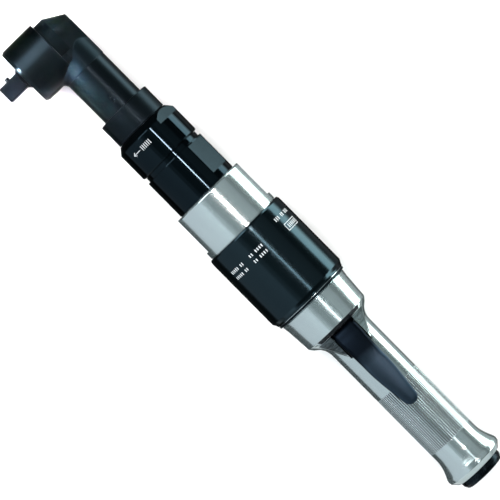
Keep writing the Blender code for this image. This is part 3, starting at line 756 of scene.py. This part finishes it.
def make_angle_head(finish):
    body = turned("angle_head_body",
                  [(HEAD_BOTTOM, 16.7, 0.35), (15.6, HEAD_RADIUS, 1.6), (HEAD_LEDGE, HEAD_RADIUS, 0.3),
                   (HEAD_LEDGE, HEAD_UPPER_RADIUS, 0.25), (HEAD_SHOULDER, HEAD_UPPER_RADIUS, 0.8),
                   (HEAD_TOP, HEAD_TOP_RADIUS, 0.7)], along_head(), STEPS)
    full_radius = HEAD_RADIUS - 0.1
    root = turned("neck_root",
                  [(HEAD_LEDGE - 1, full_radius), (NECK_ROOT_Y, full_radius, 0.8),
                   (HEAD_TOP - 1, HEAD_TOP_RADIUS, 0.4)], along_head(), STEPS)
    cut(root, block("neck_root_limit", (-20.0, 30.0, -20.0), (NECK_ROOT_X, 60.0, 20.0)))
    neck_rows = [(16.0 + 0.25 * i, NECK_BOSS_RADIUS) for i in range(13)]
    fillet_rows = [(20.0 + 0.4 * i, NECK_RADIUS) for i in range(10)]
    neck = turned("neck_form",
                  [(1.0, NECK_BOSS_RADIUS), *neck_rows, (19.5, NECK_BOSS_RADIUS, 0.2),
                   (19.75, NECK_RADIUS, 0.05), *fillet_rows, (NECK_END, NECK_RADIUS, 0.4),
                   (NECK_END, FLANGE_RADIUS, 0.3), (FLANGE_END, FLANGE_RADIUS, 0.3), (FLANGE_END, 12.0, 0.2),
                   (78.0, 12.0, 0.4)], along_tool(), STEPS, neck_radius)
    chamber = turned("spindle_chamber",
                     [(HEAD_BOTTOM - 1, 13.6), (16.4, 13.6), (16.4, 13.3), (22.9, 13.3), (22.9, 11.5),
                      (44.3, 11.5), (44.3, 5.5), (51.6, 5.5)], along_head())
    pinion_room = turned("pinion_room", [(5.6, 7.7), (12.0, 7.7), (12.0, 9.5), (79.0, 9.5)],
                         along_tool())
    join(body, root, neck)
    cut(body, chamber, pinion_room)
    punch = [(-0.8, 0.02), (-0.6, 0.5), (0.0, 0.8), (0.6, 0.5), (0.8, 0.02)]
    punch_marks = []
    for x in (39.5, 42.4):
        place = along_tool(x) @ Matrix.Rotation(radians(5.5), 4, "Z")
        spot = place @ Vector((-NECK_RADIUS - 0.35, 0.0, 0.0))
        punch_marks.append(turned(f"punch_{x}", punch, Matrix.Translation(spot), 32))
    cut(body, *punch_marks)
    return settle(body, "housing", finish["black_head"], "black_oxide", "angle_head")


def make_neck_collar(finish):
    collar = ring("neck_collar_body", [(COLLAR_START, 16.0, 0.55), (COLLAR_END, 16.0, 0.45)],
                  [(COLLAR_START, 13.1, 0.2), (COLLAR_END, 13.1, 0.2)])
    hole_spot = along_head(54.6, AXIS_Y, 0.0)
    cut(collar, turned("collar_hole", [(-18.0, 2.9), (-15.6, 2.0), (-10.0, 2.0)], hole_spot))
    settle(collar, "housing", finish["black_collar"], "black_oxide", "neck_collar")
    screw = turned("collar_set_screw_body", [(-15.7, 1.7, 0.25), (-13.3, 1.7, 0.25)], hole_spot)
    cut(screw, bore("screw_socket", -16.5, -14.5, 0.95, hole_spot, 6))
    settle(screw, "housing", finish["bearing_steel"], "bearing_steel", "collar_set_screw")


def make_retainer(finish):
    retainer = ring("bearing_retainer_body", [(14.0, 13.3, 0.4), (16.4, 13.3, 0.2)],
                    [(14.0, 7.4, 0.5), (16.4, 7.4, 0.2)], along_head())
    for side in (-1, 1):
        cut(retainer, bore(f"spanner_hole_{side}", 13.0, 15.2, 0.9, along_head(0.0, 0.0, side * 10.4), 32))
    settle(retainer, "housing", finish["black_oxide"], "black_oxide", "bearing_retainer")


def rounded_square(half, corner, y):
    """Ring of points of a square with rounded corners, at this height."""
    count = 6
    points = []
    for quarter in range(4):
        middle = radians(45.0 + 90.0 * quarter)
        across = (half - corner) * sqrt(2.0)
        centre = Vector((across * cos(middle), across * sin(middle)))
        for i in range(count + 1):
            angle = middle - radians(45.0) + radians(90.0) * i / count
            spot = centre + Vector((cos(angle), sin(angle))) * corner
            points.append((spot.x, y, spot.y))
    return points


def make_spindle(finish):
    half = SQUARE_SIDE / 2
    spindle = turned("square_spindle_body",
                     [(11.9, 5.0, 0.1), (13.4, 6.5, 0.2), (13.6, 6.8, 0.1), (24.0, 6.8, 0.2),
                      (24.0, SPINDLE_WAIST), (34.5, SPINDLE_WAIST), (34.5, 3.6), (51.0, 3.6, 0.4)],
                     along_head(), SMALL_STEPS * 2)
    # height, half width, corner radius
    sections = [(0.0, half - 0.75, 0.35), (0.12, half - 0.45, 0.45), (0.45, half - 0.12, 0.6),
                (0.9, half, 0.7), (1.2, half, 0.7), (12.0, half, 0.7), (12.3, half, 0.7)]
    square = skin("square_form", [rounded_square(size, corner, y) for y, size, corner in sections])
    join(spindle, square)
    detent_spot = along_tool(0.0, DETENT_Y, 0.0)
    cut(spindle, turned("detent_bore", [(-6.0, 1.95), (-4.45, 1.6), (3.0, 1.6)], detent_spot))
    settle(spindle, "output_spindle", finish["drive_steel"], "drive_steel", "square_spindle")
    pin = turned("detent_pin_body", [(-6.66, 1.0, 0.35), (-6.2, 1.3, 0.3), (-1.5, 1.3, 0.2)],
                 detent_spot)
    settle(pin, "detent", finish["drive_steel"], "bearing_steel", "detent_pin")
    coil = spring("detent_spring_body", 3, -1.0, 2.5, 0.85, 0.2, detent_spot)
    settle(coil, "output_spindle", finish["spring_steel"], "spring_steel", "detent_spring")
    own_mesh(coil)


# ---- nut and gear case


def wrapped_patch(shape, corners, radius):
    """Thin printed patch wrapped on a cylinder about the tool axis. Corners are (x, degrees from +Z)."""
    around = 8
    layers = []
    for reach in (radius - PRINT_SINK, radius + PRINT_RISE):
        rows = []
        for i in range(around + 1):
            share = i / around
            row = []
            for start, end in ((corners[0], corners[1]), (corners[3], corners[2])):
                x = start[0] * (1 - share) + end[0] * share
                turn = radians(start[1] * (1 - share) + end[1] * share)
                row.append(shape.verts.new((x, AXIS_Y + reach * sin(turn), reach * cos(turn))))
            rows.append(row)
        layers.append(rows)
        for first, second in zip(rows, rows[1:]):
            shape.faces.new((first[0], second[0], second[1], first[1]))
    low, high = layers
    rim = [(i, 0) for i in range(around + 1)] + [(i, 1) for i in range(around, -1, -1)]
    for (i, j), (k, m) in zip(rim, rim[1:] + rim[:1]):
        shape.faces.new((low[i][j], low[k][m], high[k][m], high[i][j]))


def bar(x_start, x_end, turn_start, turn_end):
    """Corners of a patch with straight sides."""
    return ((x_start, turn_start), (x_start, turn_end), (x_end, turn_end), (x_end, turn_start))


def make_coupling_nut(finish):
    nut = ring("coupling_nut_body",
               [(NUT_START, 16.2, 0.3), (65.7, NUT_RADIUS, 0.5), (NUT_END - 0.6, NUT_RADIUS, 0.2),
                (NUT_END, 18.7, 0.15)],
               [(NUT_START, 13.2, 0.2), (65.7, 13.2, 0.1), (65.7, 15.8, 0.1), (FLANGE_END, 15.8, 0.1),
                (FLANGE_END, 17.5, 0.1), (NUT_END, 17.5, 0.3)])
    cut(nut, *flat_cutters(50.0, 68.4, NUT_FLAT, FLAT_TURN))
    settle(nut, "nut", finish["black_polished"], "black_oxide", "coupling_nut")
    shape = bmesh.new()
    for turn in (-8.0, -11.5, -15.0, -18.5, -22.0, -25.5):
        wrapped_patch(shape, bar(69.2, 72.1, turn + 0.55, turn - 0.55), NUT_RADIUS)
    wrapped_patch(shape, bar(70.5, 70.8, -30.0, -46.5), NUT_RADIUS)
    arrow = 70.65
    for side in (-1, 1):
        wrapped_patch(shape, ((arrow + side * 1.2, -41.5), (arrow + side * 0.1, -47.5),
                              (arrow - side * 0.15, -46.3), (arrow + side * 0.95, -40.7)), NUT_RADIUS)
    marks = new_object("nut_direction_mark", shape)
    settle(marks, "nut", finish["print"], "black_oxide")


def make_gear_case(finish):
    case = ring("gear_case_body",
                [(CASE_START, 17.2, 0.3), (NUT_END + 0.3, 17.2, 0.1), (NUT_END + 0.3, 17.8, 0.05),
                 (CASE_SHOULDER, 17.8, 0.1), (CASE_SHOULDER, CASE_RADIUS, 0.35),
                 (CASE_SHOULDER_END, CASE_RADIUS, 0.4), (CASE_SHOULDER_END, 18.8, 0.05),
                 (CASE_END, 18.8, 0.3)],
                [(CASE_START, 12.3), (78.3, 12.3), (78.3, 8.0), (88.8, 8.0), (88.8, 13.8), (97.3, 13.8),
                 (97.3, 16.5), (CASE_END, 16.5)])
    cut(case, *flat_cutters(87.0, 106.0, CASE_FLAT, FLAT_TURN))
    settle(case, "housing", finish["black_polished"], "black_oxide", "gear_case")


# ---- motor housing and sleeve


def make_motor_housing(finish):
    housing = ring("motor_housing_body",
                   [(HOUSING_START, 22.4, 0.3), (HOUSING_START + 1.0, HOUSING_RADIUS, 0.5),
                    (HOUSING_STEP, HOUSING_RADIUS, 0.05), (HOUSING_STEP, 22.6, 0.05),
                    (HOUSING_END, 22.6, 0.3)],
                   [(HOUSING_START, 19.1, 0.2), (HOUSING_END, 19.1, 0.2)])
    cut(housing, *flat_cutters(100.0, 134.0, HOUSING_FLAT, -90.0))
    settle(housing, "housing", finish["satin_silver"], "satin_silver", "motor_housing")


def ticks(shape, x_start, x_end, turns, skipped=()):
    """A row of plain ticks round the sleeve, where the real one carries small print."""
    pitch = 3.3
    width = 1.5
    count = int((turns[0] - turns[1]) / pitch)
    for i in range(count):
        if i not in skipped:
            turn = turns[0] - pitch * i
            wrapped_patch(shape, bar(x_start, x_end, turn, turn - width), SLEEVE_RADIUS)


def make_sleeve(finish):
    sleeve = ring("grip_sleeve_body",
                  [(SLEEVE_START, 24.2, 0.3), (139.3, 24.85, 0.3), (141.6, SLEEVE_RADIUS, 0.2),
                   (185.4, SLEEVE_RADIUS, 0.6), (187.4, 23.8, 0.5), (SLEEVE_END, 23.5, 0.2)],
                  [(SLEEVE_START, 22.9, 0.1), (SLEEVE_END, 22.9, 0.1)])
    settle(sleeve, "housing", finish["black_sleeve"], "black_sleeve", "grip_sleeve")
    lock = ring("sleeve_lock_ring_body", [(188.8, 23.2, 0.1), (190.0, 23.2, 0.1)],
                [(188.8, 22.9, 0.1), (190.0, 22.9, 0.1)])
    settle(lock, "housing", finish["black_collar"], "black_sleeve", "sleeve_lock_ring")
    shape = bmesh.new()
    ticks(shape, 145.6, 147.7, (67.0, 33.0), (3, 6))
    for x_start, x_end in ((151.3, 151.7), (155.4, 155.8)):
        wrapped_patch(shape, bar(x_start, x_end, 66.0, 41.0), SLEEVE_RADIUS)
    for turn in (66.0, 41.9):
        wrapped_patch(shape, bar(151.3, 155.8, turn, turn - 0.9), SLEEVE_RADIUS)
    ticks(shape, 152.4, 154.7, (63.5, 43.5))
    for x_start in (149.8, 153.6):
        ticks(shape, x_start, x_start + 1.7, (2.0, -24.0), (4,))
        ticks(shape, x_start, x_start + 1.7, (-32.0, -60.0), (2,))
    marks = new_object("sleeve_print", shape)
    settle(marks, "housing", finish["print"], "black_sleeve")


# ---- handle


def handle_radius(height, radius, angle):
    """Reeding: shallow grooves along the rear half of the grip."""
    if height < REED_START or height > REED_END or radius < GRIP_RADIUS - 0.01:
        return radius
    share = smooth_step(REED_START, REED_START + 0.8, height)
    share *= 1.0 - smooth_step(REED_END - 0.8, REED_END, height)
    wave = 0.5 + 0.5 * cos(REEDS * angle)
    return radius - REED_DEPTH * share * wave ** 4


def boss_sections():
    """Rings of the swelling under the lever, from keys of (x, radius, height of its centre)."""
    keys = [(204.0, 17.0, 0.0), (208.0, 20.2, 0.0), (210.6, 18.2, 1.8), (212.8, 16.0, 3.2),
            (216.8, 12.7, 5.2), (221.5, 11.0, 5.5), (226.3, 9.6, 5.5), (231.5, 7.8, 5.0)]
    sections = []
    for x, radius, centre in along_keys(keys, 44):
        points = []
        for j in range(STEPS):
            angle = tau * j / STEPS
            points.append((x, AXIS_Y + radius * cos(angle), centre + radius * sin(angle)))
        sections.append(points)
    return sections


def make_handle(finish):
    reed_rows = [(REED_START + shift, GRIP_RADIUS) for shift in (-0.1, 0.1, 0.3, 0.5, 0.8)]
    reed_rows += [(REED_END - shift, GRIP_RADIUS) for shift in (0.8, 0.5, 0.3, 0.1, -0.1)]
    flare = [(300.5, 14.0), (302.5, 14.35), (304.5, 14.95), (306.5, 15.7), (308.3, 16.5), (309.7, 17.15)]
    waist = [(210.6, 18.8), (211.6, 17.5), (212.6, 16.3), (213.8, 15.5), (215.0, 14.8), (216.8, 14.2),
             (218.6, 13.95)]
    handle = lathe("handle_body",
                   [(200.0, 0.0), (200.0, 14.5), (HANDLE_START, 14.5), (HANDLE_START, 18.8),
                    (COLLAR_FRONT, 18.8), (COLLAR_FRONT, 22.1, 0.3), (194.5, 21.5, 1.5),
                    (SLOT_START, 20.6, 0.8), *waist, (221.0, GRIP_RADIUS), *reed_rows,
                    (299.0, GRIP_RADIUS), *flare, (310.8, 17.4, 0.8), (312.6, 17.2, 0.9),
                    (HANDLE_END, 14.4, 0.3), (HANDLE_END, 11.0, 0.2), (241.0, 11.0), (241.0, 7.3),
                    (232.0, 7.3), (232.0, 0.0)], along_tool(), False, REEDS * 8, handle_radius)
    boss = skin("throttle_boss", boss_sections())
    cutters = [
        turned("valve_bore", [(-16.0, 5.0), (8.0, 5.0), (8.0, 3.2), (20.0, 3.2)], upright(VALVE_X)),
        block("lever_slot", (SLOT_START, -7.8, 11.0), (227.0, 7.8, 30.0), upright(), 0.5),
        block("cross_slot", (SLOT_START, -30.0, 14.0), (210.4, 30.0, 30.0), upright()),
        bore("pivot_hole", -30.0, 30.0, 1.8, along_head(PIVOT_X, AXIS_Y, PIVOT_Z)),
        bore("inlet_port", 224.0, 233.0, 3.6, along_tool(z=-3.0)),
        bore("feed_port", 199.0, 224.0, 2.6, along_tool(z=5.2)),
        bore("exhaust_way_low", 199.0, 242.0, 2.2, along_tool(y=AXIS_Y - 9.0)),
        bore("exhaust_way_high", 199.0, 242.0, 2.2, along_tool(y=AXIS_Y + 9.0)),
    ]
    for part in (handle, boss):
        part.data.materials.append(finish["satin_grip"])
    # painted shade: the faces these cutters leave in the slots and bores take a dark steel
    for cutter in cutters:
        cutter.data.materials.append(finish["slot_steel"])
    join(handle, boss)
    cut(handle, *cutters)
    settle(handle, "housing", finish["satin_grip"], "satin_silver", "handle")


def lever_section(x, half, bottom, top):
    """Ring of the lever: flat underside, upright sides and a softly crowned top."""
    corner = min(half * 0.75, (top - bottom) * 0.48, 2.6)
    low_corner = min(0.5, half * 0.3)
    crown = min(0.35, half * 0.07)
    side = []
    for i in range(5):
        angle = radians(-90.0 + 90.0 * i / 4)
        side.append((half - low_corner + low_corner * cos(angle),
                     bottom + low_corner + low_corner * sin(angle)))
    for i in range(9):
        angle = radians(90.0 * i / 8)
        side.append((half - corner + corner * cos(angle), top - crown - corner + corner * sin(angle)))
    for i in (1, 2, 3):
        across = (half - corner) * (1 - i / 4)
        side.append((across, top - crown * (across / max(half - corner, 0.01)) ** 2))
    outline = [*side, (0.0, top), *[(-across, height) for across, height in reversed(side)]]
    return [(x, AXIS_Y + across, height) for across, height in outline]


def make_lever(finish):
    # x, half width, underside, top
    keys = [(210.9, 7.4, 11.5, 16.4), (213.0, 7.4, 11.5, 18.0), (216.5, 7.4, 11.5, 19.4),
            (219.0, 7.4, 13.0, 20.4), (223.2, 6.9, 16.5, 21.8), (229.0, 6.7, 16.6, 23.4),
            (233.0, 6.6, 18.6, 24.2), (240.0, 6.5, 21.2, 25.2), (248.0, 5.9, 21.8, 25.9),
            (257.0, 4.85, 22.0, 26.2), (261.4, 4.4, 21.8, 25.95)]
    sections = [lever_section(*row) for row in along_keys(keys, 70)]
    tip_start = keys[-1][0]
    tip_length = 4.3
    middle = 23.3
    for i in range(1, 15):
        share = sin(radians(89.0) * i / 14)
        narrow = sqrt(1 - share * share)
        sections.append(lever_section(tip_start + tip_length * share, 0.3 + 4.05 * narrow,
                                      middle - 1.5 * max(narrow, 0.35), middle + 2.65 * max(narrow, 0.3)))
    lever = skin("throttle_lever_body", sections)
    pivot = along_head(PIVOT_X, AXIS_Y, PIVOT_Z)
    cut(lever, bore("lever_hole", -12.0, 12.0, 1.8, pivot))
    settle(lever, "lever", finish["lever_black"], "lever_black", "throttle_lever")
    pin = bore("lever_pin_body", -14.0, 14.0, 1.5, pivot)
    combine(pin, [skin("pin_limit", boss_sections())], "INTERSECT")
    settle(pin, "housing", finish["satin_grip"], "bearing_steel", "lever_pin")


def make_valve(finish):
    place = upright(VALVE_X)
    stem = turned("valve_stem_body",
                  [(-4.5, 1.5, 0.3), (-1.2, 1.5), (-1.2, 4.2, 0.2), (2.4, 4.2, 0.9), (2.4, 2.0, 0.1),
                   (16.1, 2.0, 0.7)], place)
    settle(stem, "valve", finish["bearing_steel"], "bearing_steel", "valve_stem")
    coil = spring("valve_spring_body", 4, -8.7, -1.9, 3.1, 0.4, place)
    settle(coil, "housing", finish["spring_steel"], "spring_steel", "valve_spring")
    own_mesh(coil)
    cap = turned("valve_cap_body", [(-13.2, 4.7, 0.45), (-9.4, 4.7, 0.2)], place, SMALL_STEPS * 2)
    cut(cap, bore("cap_socket", -14.0, -11.2, 2.3, place, 6))
    settle(cap, "housing", finish["gear_steel"], "gear_steel", "valve_cap")


def thread_rows(start, end, radius, depth, pitch):
    """Profile of a screw thread, cut outwards from this radius."""
    rows = []
    count = int((end - start) / pitch)
    for i in range(count):
        for share, out in ((0.1, 0.0), (0.5, depth), (0.9, 0.0)):
            rows.append((start + pitch * (i + share), radius + out))
    return rows


def make_tail(finish):
    deflector = ring("exhaust_deflector_body",
                     [(303.4, 10.7, 0.2), (315.9, 10.7, 0.2), (315.9, 13.1, 0.3), (318.4, 12.9, 1.2),
                      (320.6, 11.6, 0.8), (320.6, 10.6, 0.1)],
                     [(303.4, 8.3, 0.2), (320.6, 8.3, 0.1)])
    settle(deflector, "housing", finish["black_oxide"], "black_oxide", "exhaust_deflector")
    thread = thread_rows(301.0, 319.5, 6.2, 0.55, 1.0)
    bushing = ring("inlet_bushing_body",
                   [(295.0, 10.7, 0.3), (303.0, 10.7, 0.2), (303.0, 8.0, 0.1), (TAIL_END, 8.0, 0.4)],
                   [(295.0, 4.8, 0.2), (299.0, 4.8, 0.1), (299.0, 6.2), *thread, (320.2, 6.3),
                    (TAIL_END, 6.9, 0.1)])
    settle(bushing, "housing", finish["gear_steel"], "gear_steel", "inlet_bushing")


# ---- CAD nodes that stay


def finish_inside(finish):
    """Give every CAD node that still shows its slot's procedural finish."""
    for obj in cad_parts.values():
        for index, current in enumerate(obj.data.materials):
            slot = current.name.split(".")[0]
            if slot in finish:
                obj.data.materials[index] = finish[slot]


# ---- stage


def make_floor():
    mesh = bpy.data.meshes.new("studio_floor")
    reach = 4.0
    level = CAD_LOW.z - FLOOR_GAP
    corners = [(-reach, -reach, level), (reach, -reach, level), (reach, reach, level), (-reach, reach, level)]
    mesh.from_pydata(corners, [], [(0, 1, 2, 3)])
    floor = link_object("studio_floor", mesh)
    material, _, shader = new_material("pale_floor", 0.0, 0.9)
    shader.inputs["Base Color"].default_value = (0.93, 0.93, 0.93, 1.0)
    shader.inputs["Specular IOR Level"].default_value = 0.0
    mesh.materials.append(material)
    floor.visible_glossy = False
    floor.visible_shadow = False


def aim(obj, spot, back, along):
    """Put an object at a spot, its local +Z along back and its local +X as near to along as that allows."""
    right = (along - back * along.dot(back)).normalized()
    matrix = Matrix((right, back.cross(right), back)).transposed().to_4x4()
    obj.matrix_world = Matrix.Translation(spot) @ matrix


def area_light(name, centre, direction, distance, width, length, radiance, colour=WHITE,
               along=(1.0, 0.0, 0.0), spread=180.0):
    """Rectangular lamp at this direction and distance from a point, its length turned towards along.

    radiance is what the lamp shows straight on, whatever its spread in degrees.
    """
    lamp = bpy.data.lights.new(name, "AREA")
    lamp.shape = "RECTANGLE"
    lamp.size = length
    lamp.size_y = width
    lamp.color = colour
    lamp.energy = radiance * pi * length * width
    if spread < 180.0:
        half = radians(spread / 2)
        lamp.spread = 2 * half
        lamp.energy *= (tan(half) - half) / tan(half)
    obj = link_object(name, lamp)
    towards = Vector(direction).normalized()
    aim(obj, Vector(centre) + towards * distance, towards, Vector(along))
    return obj


def toward(degrees):
    """Direction in the plane across the tool, this far from straight up towards +Y."""
    turn = radians(degrees)
    return (0.0, sin(turn), cos(turn))


def make_lights():
    """One long lamp in four stretches, panels at both sides of the tool, and small lamps for its two ends."""
    middle = (0.15, AXIS_Y * MILLIMETRE, 0.0)
    # name, start and end along the tool, radiance, colour
    strips = (("strip_front", -0.90, 0.027, 4.5, WHITE),
              ("strip_nut", 0.027, 0.108, 115.0, (1.0, 0.76, 0.70)),
              ("strip_rear", 0.108, 0.30, 16.0, WHITE),
              ("strip_tail", 0.30, 1.20, 8.0, WHITE))
    for name, start, end, radiance, colour in strips:
        spot = ((start + end) / 2, AXIS_Y * MILLIMETRE, 0.0)
        area_light(name, spot, toward(STRIP_TURN), 1.0, STRIP_WIDTH, end - start, radiance, colour)
    # name, degrees from straight up, distance, width, length, radiance, colour
    panels = (("softbox", 95.5, 0.9, 0.364, 2.2, 7.4, (0.94, 1.0, 0.94)),
              ("softbox_edge", 110.2, 0.9, 0.102, 2.2, 3.4, (0.93, 1.0, 0.92)),
              ("fill", -72.5, 1.1, 1.98, 3.4, 0.61, (0.92, 0.94, 1.0)),
              ("fill_edge", -25.0, 1.1, 0.212, 3.4, 0.20, (0.92, 0.94, 1.0)),
              ("bounce", 129.0, 0.9, 0.50, 2.2, 0.28, WHITE),
              ("top_fill", 43.0, 1.1, 0.59, 2.2, 0.14, WHITE))
    for name, turn, distance, width, length, radiance, colour in panels:
        area_light(name, middle, toward(turn), distance, width, length, radiance, colour)
    head = (0.0, 0.025, 0.0)
    area_light("head_light", head, (-0.526, -0.259, 0.810), 0.38, 0.276, 0.276, 7.8,
               along=(0.839, 0.0, 0.545))
    tail = (0.314, AXIS_Y * MILLIMETRE, 0.0)
    area_light("tail_light", tail, (0.85, -0.20, -0.45), 0.6, 1.0, 1.0, 0.7, along=(0.0, 1.0, 0.0))
    corner = (-0.009, 0.0148, 0.0148)
    area_light("kicker", corner, (-0.430, -0.695, 0.577), 1.1, 0.06, 0.06, 65000.0, spread=3.0)
    wash = area_light("floor_wash", middle, toward(0.0), 2.4, 3.0, 3.0, 2.9)
    wash.visible_glossy = False


def make_world():
    """Soft grey room: a paler ceiling overhead, dark below the horizon."""
    world = bpy.data.worlds.new("studio")
    world.use_nodes = True
    tree = world.node_tree
    direction = add_node(tree, "ShaderNodeTexCoord").outputs["Generated"]
    height = axis_parts(tree, direction)[2]
    walls = remap(tree, height, -0.55, 0.05, 0.045, 0.12)
    ceiling = remap(tree, height, 0.40, 0.85, 0.0, 0.12)
    strength = math_node(tree, "ADD", walls, ceiling)
    background = tree.nodes["Background"]
    background.inputs["Color"].default_value = (*ROOM_COLOUR, 1.0)
    tree.links.new(strength, background.inputs["Strength"])
    bpy.context.scene.world = world


def make_camera():
    """Long lens above the tool, rolled so that the head is at the upper left of the frame."""
    camera = bpy.data.cameras.new("camera")
    camera.sensor_width = 36.0
    camera.lens = LENS
    camera.clip_end = 50.0
    obj = link_object("camera", camera)
    spot = Vector(CAMERA_SPOT)
    aim(obj, spot, (spot - Vector(CAMERA_TARGET)).normalized(), Vector(CAMERA_RIGHT))
    bpy.context.scene.camera = obj


# ---- assembly

finish = make_materials()
for make_piece in (make_angle_head, make_neck_collar, make_retainer, make_spindle, make_coupling_nut,
                   make_gear_case, make_motor_housing, make_sleeve, make_handle, make_lever, make_valve,
                   make_tail, finish_inside):
    make_piece(finish)
make_floor()
make_lights()
make_world()
make_camera()
bpy.context.scene.view_settings.view_transform = "Standard"
